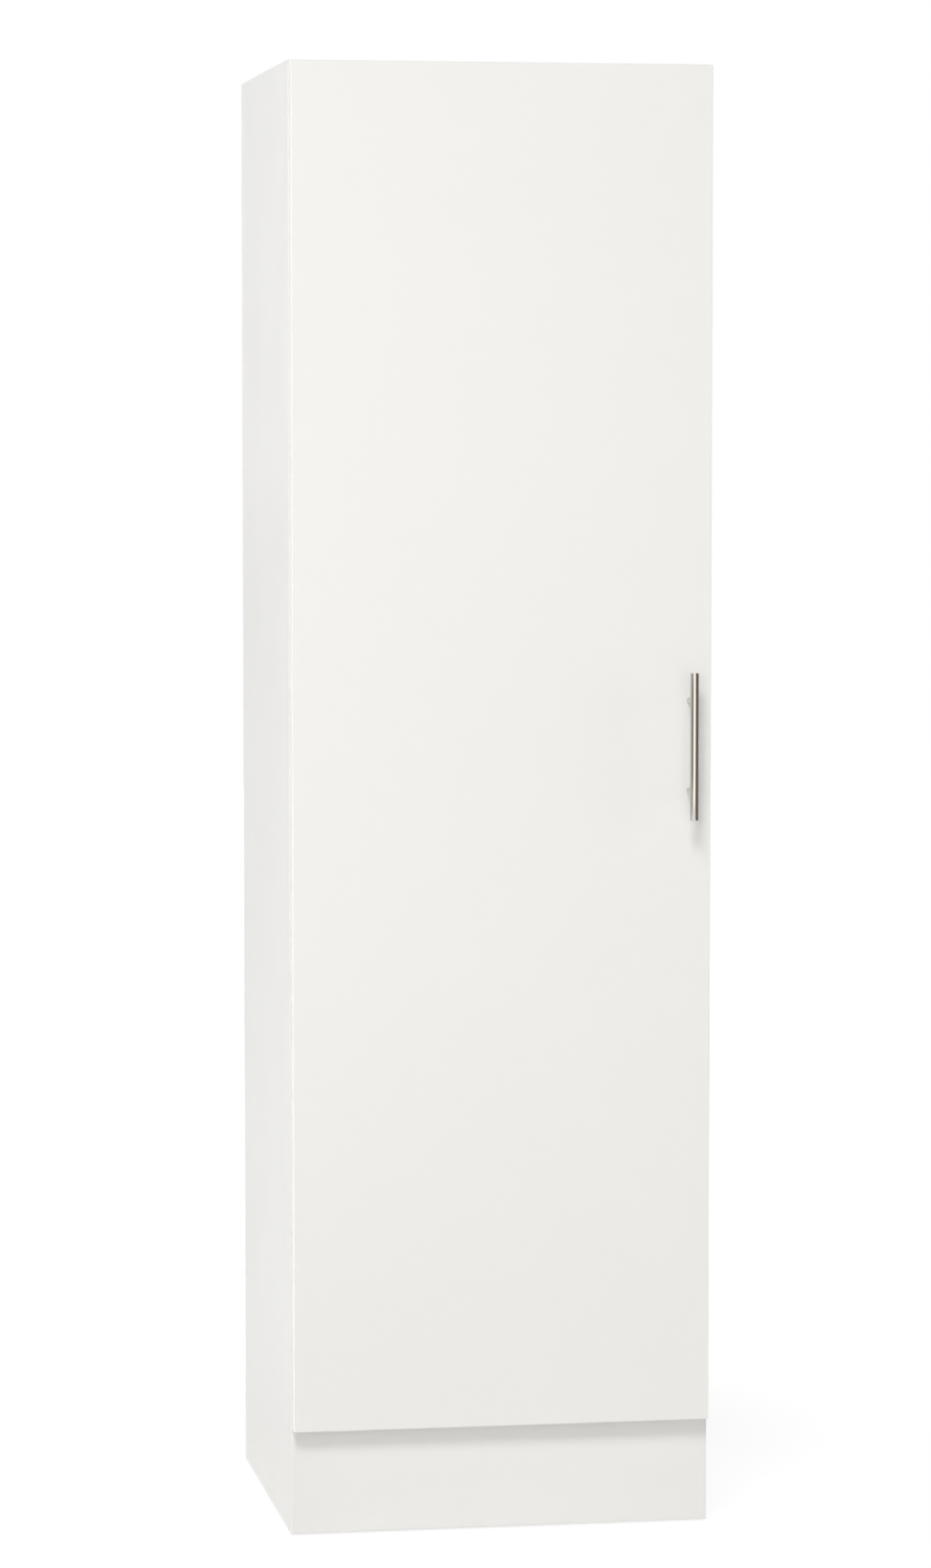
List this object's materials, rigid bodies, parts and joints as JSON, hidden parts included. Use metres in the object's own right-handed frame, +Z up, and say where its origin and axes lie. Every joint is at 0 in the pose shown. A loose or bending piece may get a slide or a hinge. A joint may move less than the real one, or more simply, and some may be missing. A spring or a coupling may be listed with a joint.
{
  "type": "broom cupboard",
  "caption": "Tall white single-door broom cupboard with a full-height broom bay, two upper shelf bays, a plinth, a bar handle and concealed hinges.",
  "frame": {"origin": "on the floor under the middle of the closed cupboard, handle included", "axes": "+X to the right of someone facing the door, +Y towards the wall, +Z up"},
  "size_m": [0.6, 0.586, 2.075],
  "materials": {
    "white_board": "white melamine, satin, banded edges",
    "white_door": "white lacquer-effect foil, satin",
    "white_back": "white printed hardboard",
    "white_plastic": "moulded, matt",
    "glide_plastic": "moulded, smooth",
    "steel_handle": "brushed",
    "nickel": "nickel-plated pressed steel",
    "zinc": "die-cast zinc",
    "bright_steel": "zinc-plated",
    "beech": "fluted beech",
    "bumper": "clear soft pad"
  },
  "bodies": {
    "carcass": {"left_side_panel": "white_board", "right_side_panel": "white_board", "top_panel": "white_board", "bottom_panel": "white_board", "fixed_shelf": "white_board", "adjustable_shelf": "white_board", "shelf_pins": "nickel", "back_panel_lower": "white_back", "back_panel_upper": "white_back", "back_joint_strip": "white_plastic", "wall_rail": "white_board", "plinth_board": "white_board", "plinth_brackets": "white_plastic", "plinth_bracket_screws": "bright_steel", "floor_glides": "glide_plastic", "cam_bolts": "bright_steel", "cam_locks": "zinc", "wooden_dowels": "beech", "hinge_plate_1": "nickel", "hinge_plate_2": "nickel", "hinge_plate_3": "nickel", "hinge_plate_4": "nickel", "hinge_arm_1": "nickel", "hinge_arm_2": "nickel", "hinge_arm_3": "nickel", "hinge_arm_4": "nickel", "hinge_arm_pins": "nickel", "hinge_plate_screws": "bright_steel", "hinge_arm_screws": "bright_steel"},
    "inner_links": {"hinge_inner_link_1": "nickel", "hinge_inner_link_2": "nickel", "hinge_inner_link_3": "nickel", "hinge_inner_link_4": "nickel"},
    "door": {"door_panel": "white_door", "handle_bar": "steel_handle", "handle_post_lower": "steel_handle", "handle_post_upper": "steel_handle", "handle_screws": "bright_steel", "door_bumpers": "bumper", "hinge_cup_1": "nickel", "hinge_cup_2": "nickel", "hinge_cup_3": "nickel", "hinge_cup_4": "nickel", "hinge_cup_pins": "nickel", "hinge_cup_screws": "bright_steel"},
    "outer_links": {"hinge_outer_link_1": "nickel", "hinge_outer_link_2": "nickel", "hinge_outer_link_3": "nickel", "hinge_outer_link_4": "nickel"}
  },
  "joints": [
    {"name": "inner_link_swing", "type": "hinge", "parent": "carcass", "child": "inner_links", "pos_m": [-0.271, -0.2365, 1.1125], "axis": [0, 0, -1], "range_deg": [-14.85, 0]},
    {"name": "door_swing", "type": "hinge", "parent": "inner_links", "child": "door", "pos_m": [-0.29, -0.248, 1.1125], "axis": [0, 0, -1], "range_deg": [0, 110]},
    {"name": "outer_link_swing", "type": "hinge", "parent": "door", "child": "outer_links", "pos_m": [-0.29, -0.242, 1.1125], "axis": [0, 0, -1], "range_deg": [-119.62, 0]}
  ],
  "couplings": [
    {"joint": "inner_link_swing", "follows": "door_swing", "ratio": -0.13495},
    {"joint": "outer_link_swing", "follows": "door_swing", "ratio": -1.0874}
  ]
}
